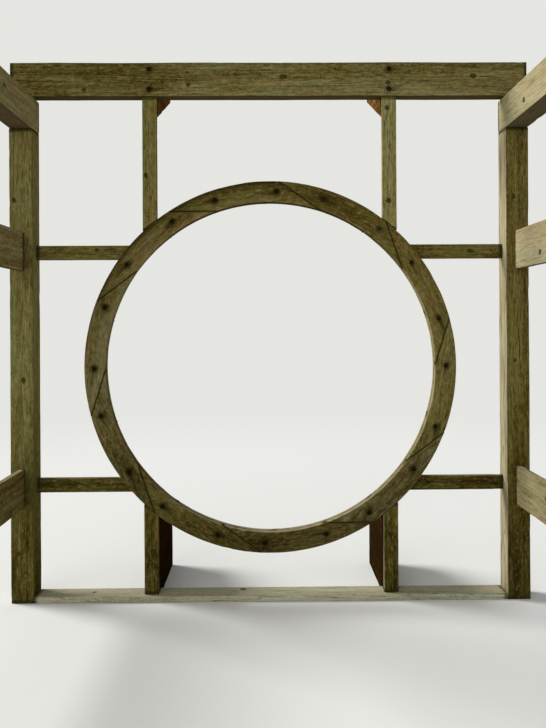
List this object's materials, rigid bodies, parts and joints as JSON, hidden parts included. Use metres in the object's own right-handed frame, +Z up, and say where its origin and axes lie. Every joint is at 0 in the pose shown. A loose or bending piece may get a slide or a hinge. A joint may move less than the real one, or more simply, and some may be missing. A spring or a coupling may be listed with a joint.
{
  "type": "timber moon gate with side bays",
  "caption": "Weathered timber moon gate: a round opening of scarfed segments in a post-and-rail screen, with a bay of side boards and beams at each end.",
  "frame": {"origin": "middle of the sill board's underside, on the ground, midway between the gate posts", "axes": "+X to the right as one looks at the front, +Y to the back away from the side bays, +Z up"},
  "size_m": [3.13, 3.0595, 3.256],
  "materials": {
    "ring_timber": "weathered grey-brown, dry",
    "frame_timber": "weathered grey-brown, dry",
    "post_timber": "weathered brown, dry",
    "side_timber": "weathered olive-brown, dry",
    "sheltered_timber": "reddish brown, sheltered from sun",
    "sill_timber": "bleached pale grey, dry"
  },
  "bodies": {
    "root": {"ring_front_1": "ring_timber", "ring_front_2": "ring_timber", "ring_front_3": "ring_timber", "ring_front_4": "ring_timber", "ring_front_5": "ring_timber", "ring_front_6": "ring_timber", "ring_front_7": "ring_timber", "ring_front_8": "ring_timber", "ring_front_9": "ring_timber", "ring_front_10": "ring_timber", "ring_back_1": "ring_timber", "ring_back_2": "ring_timber", "ring_back_3": "ring_timber", "ring_back_4": "ring_timber", "ring_back_5": "ring_timber", "ring_back_6": "ring_timber", "ring_back_7": "ring_timber", "ring_back_8": "ring_timber", "ring_back_9": "ring_timber", "ring_back_10": "ring_timber", "header": "frame_timber", "upper_stud_left": "frame_timber", "lower_stud_left": "frame_timber", "upper_rail_left": "frame_timber", "lower_rail_left": "frame_timber", "gate_post_left": "post_timber", "front_post_left": "post_timber", "rear_arm_left": "sheltered_timber", "rear_foot_left": "sheltered_timber", "side_beam_left": "frame_timber", "side_board_upper_left": "side_timber", "side_board_lower_left": "side_timber", "upper_stud_right": "frame_timber", "lower_stud_right": "frame_timber", "upper_rail_right": "frame_timber", "lower_rail_right": "frame_timber", "gate_post_right": "post_timber", "front_post_right": "post_timber", "rear_arm_right": "sheltered_timber", "rear_foot_right": "sheltered_timber", "side_beam_right": "frame_timber", "side_board_upper_right": "side_timber", "side_board_lower_right": "side_timber", "sill": "sill_timber"}
  },
  "joints": []
}
